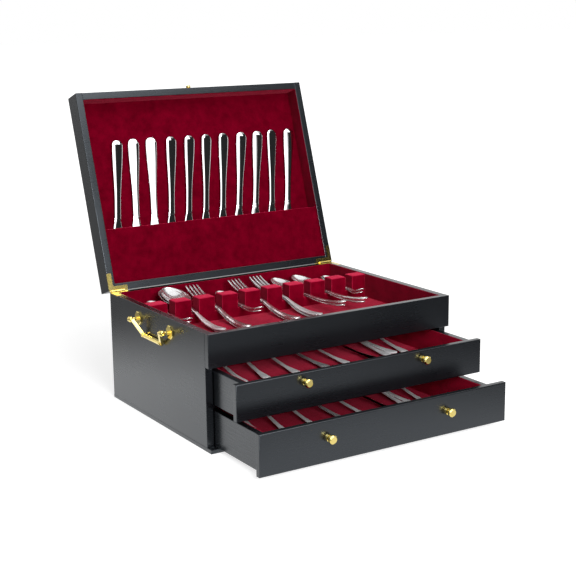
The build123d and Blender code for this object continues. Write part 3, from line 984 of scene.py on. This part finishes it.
def makeButterKnife(handle, length, width):
    work = butterWork
    neck = handle.neck
    rows = handle.rows()
    rows += [neck + length * (1 - math.cos(angle)) / 2 for angle in halfTurn(work["rowAngle"])]

    def shape(y, across):
        if y < neck:
            return handle.point(y, across)
        along = min(work["start"] + (y - neck) / length * (1 - work["start"]), 1.0)
        belly = width / 2 * math.sin(math.pi * along) ** work["belly"] + hair
        return (across * belly, y, work["crown"] * (1 - across * across))

    obj = stripOf("butterKnife", rows, work["columns"], shape)
    thicken(obj, work["steel"])
    return obj


def laid(obj, slot, rest, rise, reach, turn, level, front):
    # neck in its slot at height rest, handle's end lower by rise, swung about the rack's middle
    middle = Vector((0, rackDepth / 2, 0))
    place = Matrix.Translation((slotCentre(slot), front, rest))
    place = place @ Matrix.Rotation(math.asin(rise / reach), 4, "X")
    place = place @ Matrix.Translation(middle) @ Matrix.Rotation(math.radians(-turn), 4, "Z")
    place = place @ Matrix.Translation(-middle)
    place = place @ Matrix.Translation((0, 0, level * layFit["stack"]))
    obj.data.transform(place)
    return obj


trayWork = {
    "neck": 0.038,
    "end": 0.0085,
    "sag": 0.004,
    "deepSag": 0.0065,
    "endLift": 0.003,
    "part": 0.0030,  # the upper one's end stands this much higher
}

# laid in pairs; each pair is its slot, reach, end's rise, turn and the lower one's swing
trayPlaces = {
    "trayTeaspoons": {
        "finish": tableSteel,
        "node": "tray_teaspoons",
        "maker": makeSpoon,
        "head": teaBowl,
        "tilt": 9.0,
        "waist": 0.0044,
        "deep": False,
        "pairs": ((0, 0.062, 0.0054, 0, 2.0), (3, 0.062, 0.0054, 0, 2.0), (8, 0.040, 0.0040, 0, 2.0)),
    },
    "trayServers": {
        "finish": satinSteel,
        "headFinish": tableSteel,
        "node": "tray_serving_spoons",
        "maker": makeSpoon,
        "head": servingBowl,
        "tilt": 4.8,
        "waist": 0.0060,
        "deep": True,
        "pairs": ((1, 0.092, 0.0, 0, -3.0),),
    },
    "trayForks": {
        "finish": tableSteel,
        "node": "tray_forks",
        "maker": makeFork,
        "head": forkHead,
        "tilt": 6.0,
        "waist": 0.0044,
        "deep": True,
        "pairs": ((2, 0.098, 0.0, 0, 1.0), (4, 0.098, 0.0, -3.0, 1.0)),
    },
    "trayForksPatterned": {
        "finish": wovenSteel,
        "node": "tray_forks",
        "maker": makeFork,
        "head": forkHead,
        "tilt": 6.0,
        "waist": 0.0060,
        "deep": True,
        "pairs": ((5, 0.098, 0.0, -3.0, 1.0),),
    },
    "traySpoons": {
        "finish": tableSteel,
        "node": "tray_spoons",
        "maker": makeSpoon,
        "head": tableBowl,
        "tilt": 9.0,
        "waist": 0.0044,
        "deep": False,
        "pairs": ((6, 0.102, 0.0040, -4.0, 1.5), (7, 0.102, 0.0040, -4.0, 3.0)),
    },
}


def trayWare():
    low, high = trayBar
    bar, front = high[2] - low[2], low[1]
    rest = high[2] + layFit["lift"]
    for name, kind in trayPlaces.items():
        sag = trayWork["deepSag"] if kind["deep"] else trayWork["sag"]
        rise = bar - trayWork["endLift"] if kind["deep"] else 0.0
        made = []
        for slot, reach, endRise, turn, swing in kind["pairs"]:
            for level in (0, 1):
                handle = Handle(
                    reach,
                    trayWork["neck"],
                    trayWork["end"],
                    kind["waist"],
                    sag,
                    endRise + level * trayWork["part"],
                    kind["tilt"],
                )
                piece = kind["maker"](handle, **kind["head"])
                swung = turn + swing * (1 - level)
                made.append(laid(piece, slot, rest, rise, reach, swung, level, front))
        obj = joinAll(name, made)
        finishPiece(obj, "cabinet", kind["finish"], "stainless", kind["node"])
        if "headFinish" in kind:
            accent(obj, kind["headFinish"], lambda face: face.center.y > front)


drawerWork = {
    "reach": 0.108,
    "neck": 0.028,
    "end": 0.0068,
    "waist": 0.0032,
    "sag": 0.0025,
    "endLift": 0.004,
}

# each place is its slot, its turn and 1 where it lies on another
# painted reflection: the pale steel on the drawers' spoons, plain forks and one butter knife
drawerPlaces = {
    "Spoons": {
        "finish": paleSteel,
        "node": "spoons",
        "maker": makeSpoon,
        "head": tableBowl,
        "places": ((1, 8, 0), (2, 10, 0), (3, 5, 0), (5, 1, 0)),
    },
    "ForkPatterned": {
        "finish": wovenSteel,
        "node": "forks",
        "maker": makeFork,
        "head": forkHead,
        "places": ((4, -1, 0),),
    },
    "Forks": {
        "finish": paleSteel,
        "node": "forks",
        "maker": makeFork,
        "head": forkHead,
        "places": ((7, 4, 0), (7, -2, 1)),
    },
    "KnifeDark": {
        "finish": steel,
        "node": "butter_knives",
        "maker": makeButterKnife,
        "head": butterBlade,
        "places": ((6, -3, 0),),
    },
    "KnifePale": {
        "finish": paleSteel,
        "node": "butter_knives",
        "maker": makeButterKnife,
        "head": butterBlade,
        "places": ((8, 8, 0),),
    },
}


def drawerWare(level):
    low, high = corners(level + "_rack_bar")
    reach = drawerWork["reach"]
    rest = high[2] + layFit["lift"]
    rise = high[2] - low[2] - drawerWork["endLift"]
    shape = [drawerWork[key] for key in ("neck", "end", "waist", "sag")]
    for name, kind in drawerPlaces.items():
        made = []
        for slot, turn, above in kind["places"]:
            piece = kind["maker"](Handle(reach, *shape), **kind["head"])
            made.append(laid(piece, slot, rest, rise, reach, turn, above, low[1]))
        obj = joinAll(level + name, made)
        node = level + "_" + kind["node"]
        finishPiece(obj, "drawer_" + level, kind["finish"], "stainless", node)


trayWare()
drawerWare("upper")
drawerWare("lower")
print("flatware laid")


# the table knives stand in the lid's pocket, handles up
knifeSize = {
    "length": 0.240,
    "handle": 0.138,
    "endRadius": 0.0104,
    "waist": 0.0058,
    "blade": 0.0080,
    "shoulder": 0.022,
    "bolster": 0.003,
    "bolsterWide": 1.12,
    "bolsterNarrow": 0.98,
    "square": 3.2,  # 2 is an oval section, more is squarer
    "thick": 0.0066,
    "bladeThick": 0.002,
    "sides": 36,
    "smoothTo": 60,
}

knifeRow = {
    "pitch": 0.0346,
    "lean": 10.5,
    "foot": 0.026,  # blade's end above the hinge line
    # how far each leans past the common lean and how far it is rolled, left to right, in degrees
    "sway": (-0.7, -2.7, -3.0, -0.4, 0.7, 0.6, 0.9, 2.4, 2.4, 0.4, 1.5),
    "roll": (1.5, -6.0, -12.0, 3.5, 2.0, 4.5, 4.0, -2.5, -4.0, 4.5, -5.0),
}

knifeCurve = {
    "endAngles": (8, 25, 42, 60, 78, 90),
    "endThick": 0.7,
    "bodySteps": 14,
    "drawnBy": 0.82,  # of the body's length, by which it is at its waist
    "shoulderSteps": 5,
    "tipAngles": (20, 40, 60, 78),
    "bolsterThin": 0.7,
    "bladeThin": 0.8,
    "tipThin": 0.7,
}


def knifeStations():
    # along the knife from its handle's end: y, half width, half thickness
    size, curve = knifeSize, knifeCurve
    top = size["length"] / 2
    waist = top - size["handle"]
    bolster = waist - size["bolster"]
    shoulder = waist - size["shoulder"]
    end, thin = size["endRadius"], size["bladeThick"]
    thickHalf = size["thick"] / 2
    stations = []
    for angle in curve["endAngles"]:
        y = top - end * (1 - math.sin(math.radians(90 - angle)))
        share = math.sin(math.radians(angle))
        stations.append((y, end * share, thickHalf * share ** curve["endThick"]))
    for step in range(1, curve["bodySteps"] + 1):
        t = step / curve["bodySteps"]
        half = end + (size["waist"] - end) * ease(min(t / curve["drawnBy"], 1.0))
        thick = thickHalf + (thin - thickHalf) * ease(t)
        stations.append((top - end + (waist - top + end) * t, half, thick))
    stations.append((waist - size["bolster"] / 2, size["waist"] * size["bolsterWide"], thin))
    narrow = size["waist"] * size["bolsterNarrow"]
    stations.append((bolster, narrow, thin * curve["bolsterThin"]))
    for step in range(1, curve["shoulderSteps"] + 1):
        t = step / curve["shoulderSteps"]
        half = size["waist"] + (size["blade"] - size["waist"]) * ease(t)
        stations.append((bolster + (shoulder - bolster) * t, half, thin / 2))
    tip = -top + size["blade"]
    stations.append((tip, size["blade"], thin / 2 * curve["bladeThin"]))
    for angle in curve["tipAngles"]:
        y = tip - size["blade"] * math.sin(math.radians(angle))
        half = size["blade"] * math.cos(math.radians(angle))
        stations.append((y, half, thin / 2 * curve["tipThin"]))
    return stations


def ringAlong(name, stations, square, sides):
    # a squarish ring drawn out station by station, then capped at both ends
    deselectAll()
    y, half, thick = stations[0]
    bpy.ops.mesh.primitive_circle_add(
        vertices=sides,
        radius=1,
        location=(0, y, 0),
        rotation=(math.radians(90), 0, 0),
        fill_type="NGON",
    )
    obj = bpy.context.object
    obj.name = name
    settle(obj)
    for vertex in obj.data.vertices:
        x, z = (math.copysign(abs(c) ** (2 / square), c) for c in (vertex.co.x, vertex.co.z))
        vertex.co = (x * half, y, z * thick)
    enterEdit(obj, "VERT")
    bpy.ops.mesh.select_all(action="SELECT")
    for before, after in zip(stations, stations[1:]):
        bpy.ops.mesh.extrude_region_move(
            TRANSFORM_OT_translate={"value": (0, after[0] - before[0], 0)}
        )
        bpy.ops.transform.resize(
            value=(after[1] / before[1], 1, after[2] / before[2]),
            center_override=(0, after[0], 0),
        )
    leaveEdit()
    outward(obj)
    return obj


def makeKnives():
    size, row = knifeSize, knifeRow
    template = ringAlong("knife", knifeStations(), size["square"], size["sides"])
    smooth(template, size["smoothTo"], weighted=False)
    lean = math.radians(row["lean"])
    velvetTop = lidLiningTop() - liningWork["cloth"]
    height = velvetTop - layFit["lift"] - size["thick"] / 2
    middle = row["foot"] + size["length"] / 2 * math.cos(lean)
    count = len(row["sway"])
    knives = []
    for number, (sway, roll) in enumerate(zip(row["sway"], row["roll"])):
        knife = duplicateOf(template, "knife%d" % number)
        x = (number - (count - 1) / 2) * row["pitch"]
        place = Matrix.Translation((x, hingeLine.y - middle, height))
        place = place @ Matrix.Rotation(lean + math.radians(sway) + math.pi, 4, "Z")
        place = place @ Matrix.Rotation(math.radians(roll), 4, "Y")
        knife.data.transform(lidTurn() @ place)
        knives.append(knife)
    bpy.data.objects.remove(template)
    finishPiece(joinAll("tableKnives", knives), "lid", steel, "stainless", "table_knives")


makeKnives()
print("knives in the lid")


pocketWork = {"paintedHighlightTop": 0.6}


def dressPocket():
    for node in ("knife_pocket", "knife_pocket_ribs"):
        obj = finishPiece(easedBoard(node), "lid", lidVelvetPaintedShade, "velvet", node)
        # painted highlight along the pocket's top edge
        accent(obj, paintedHighlightVelvet, lambda face: face.normal.z > pocketWork["paintedHighlightTop"])


dressPocket()
print("pocket dressed")


brassWork = {
    "smoothTo": 30,
    "pieces": (
        ("hinge_leaf_case_left", "cabinet"),
        ("hinge_leaf_case_right", "cabinet"),
        ("hinge_leaf_lid_left", "lid"),
        ("hinge_leaf_lid_right", "lid"),
        ("hinge_pins", "cabinet"),
        ("hinge_screws_case", "cabinet"),
        ("hinge_screws_lid", "lid"),
        ("handle_posts_left", "cabinet"),
        ("handle_posts_right", "cabinet"),
        ("bail_left", "bail_left"),
        ("bail_right", "bail_right"),
        ("lid_knob", "lid"),
        ("upper_knobs", "drawer_upper"),
        ("lower_knobs", "drawer_lower"),
    ),
}


def dressBrass():
    for node, body in brassWork["pieces"]:
        obj = cadCopy(node)
        smooth(obj, brassWork["smoothTo"])
        finishPiece(obj, body, brass, "brass", node)


dressBrass()
print("brass in")


floorLook = {
    "size": 40,
    "albedo": 0.62,
    "glow": 0.72,
    "horizon": (0.6, 2.5),  # from here to here the glow grows
    "horizonGlow": 0.4,
    "shine": 0.95,
    "pool": (0.42, 0.80),  # from here to here the shine falls away
    "poolFall": 0.92,
    "backY": (0.1, 0.8),
    "backShine": 0.12,
    "leftX": (0.1, 0.5),
    "leftY": (-0.4, 0.2),
    "leftShine": 0.45,
}


def makeFloor():
    # white to the eye and in the shine nearby, pale grey for the light it throws back
    look = floorLook
    deselectAll()
    bpy.ops.mesh.primitive_plane_add(size=look["size"], location=(0, 0, 0))
    floor = bpy.context.object
    floor.name = "studioFloor"
    finish = Finish("paleFloor")
    camera = finish.node("LightPath", output="Is Camera Ray")
    glossy = finish.node("LightPath", output="Is Glossy Ray")
    x, y = finish.axes(finish.place())[:2]
    far = (x * x + y * y) ** 0.5
    behind = y.rise(*look["backY"]) * look["backShine"]
    pool = 1.0 - far.rise(*look["pool"]) * (look["poolFall"] - behind)
    left = (0.0 - x).rise(*look["leftX"]) * y.rise(*look["leftY"])
    glow = look["glow"] + far.rise(*look["horizon"]) * look["horizonGlow"]
    matt = finish.node("BsdfDiffuse", Color=grey(look["albedo"]))
    lit = finish.node("Emission", Color=grey(1.0), Strength=glow)
    both = finish.node("AddShader", _0=matt, _1=lit)
    seen = finish.node("MixShader", _0=camera, _1=matt, _2=both)
    shine = pool * (look["shine"] + left * look["leftShine"])
    mirrored = finish.node("Emission", Color=grey(1.0), Strength=shine)
    ground = finish.node("MixShader", _0=glossy, _1=seen, _2=mirrored)
    finish.node("OutputMaterial", Surface=ground)
    floor.data.materials.append(finish.owner)


skyLook = {
    "ambient": 0.32,
    "ceiling": (0.62, 0.80),
    "box": (-0.26, -0.90, 0.35),
    "boxEdge": (0.79, 0.85),
    "boxLevel": 2.2,
    "side": (0.88, 0.94),
    "behind": (0.55, 0.75),
    "behindLevel": 0.9,
    "dim": 0.02,
}


def makeWorld():
    # white to the eye; in the shine a white ceiling and a soft box at the front left
    look = skyLook
    scene.world = bpy.data.worlds.new("studioWorld")
    finish = Finish("studioWorld", scene.world)
    camera = finish.node("LightPath", output="Is Camera Ray")
    glossy = finish.node("LightPath", output="Is Glossy Ray")
    x, y, z = finish.axes(finish.node("TexCoord", output="Generated"))
    aim = Vector(look["box"]).normalized()
    facing = x * aim.x + y * aim.y + z * aim.z
    ceiling = z.rise(*look["ceiling"])
    softBox = facing.rise(*look["boxEdge"]) * look["boxLevel"]
    around = x.rise(*look["side"]).larger(y.rise(*look["behind"]) * look["behindLevel"])
    shine = ceiling.larger(softBox).larger(around).larger(look["dim"])
    level = look["ambient"] + glossy * (shine - look["ambient"])
    level = level + camera * (1.0 - level)
    finish.node("OutputWorld", Surface=finish.node("Background", Color=grey(1.0), Strength=level))


lamps = {
    "overhead": {
        "place": (0.15, -0.55, 1.55),
        "target": (0, -0.1, 0.1),
        "size": (1.3, 1.3),
        "power": 13.0,
    },
    "frontBox": {
        "place": (-0.35, -2.0, 0.95),
        "target": (0, -0.1, 0.15),
        "size": (1.1, 0.7),
        "power": 44.0,
    },
}


def addLamps():
    for name, look in lamps.items():
        lamp = bpy.data.lights.new(name, "AREA")
        lamp.shape = "RECTANGLE"
        lamp.size, lamp.size_y = look["size"]
        lamp.energy = look["power"]
        obj = bpy.data.objects.new(name, lamp)
        obj.location = look["place"]
        aim = Vector(look["target"]) - Vector(look["place"])
        obj.rotation_euler = aim.to_track_quat("-Z", "Y").to_euler()
        scene.collection.objects.link(obj)


view = {
    "place": (-1.07255, -1.74513, 0.65060),
    "azimuth": -32.06,
    "elevation": 12.60,
    "roll": -0.65,
    "lens": 79.28,
    "sensor": 36,
    "clipStart": 0.05,
}


def makeCamera():
    turns = ("azimuth", "elevation", "roll")
    azimuth, elevation, roll = (math.radians(view[key]) for key in turns)
    level = math.cos(elevation)
    back = Vector((math.sin(azimuth) * level, -math.cos(azimuth) * level, math.sin(elevation)))
    right = (-back).cross(Vector((0, 0, 1))).normalized()
    up = right.cross(-back)
    turnedRight = right * math.cos(roll) + up * math.sin(roll)
    turnedUp = up * math.cos(roll) - right * math.sin(roll)
    turn = Matrix((turnedRight, turnedUp, back)).transposed().to_4x4()
    camera = bpy.data.objects.new("studioCamera", bpy.data.cameras.new("studioCamera"))
    camera.matrix_world = Matrix.Translation(view["place"]) @ turn
    camera.data.lens = view["lens"]
    camera.data.sensor_width = view["sensor"]
    camera.data.clip_start = view["clipStart"]
    scene.collection.objects.link(camera)
    scene.camera = camera


makeFloor()
makeWorld()
makeCamera()
addLamps()
scene.view_settings.view_transform = "Standard"
print("studio ready")
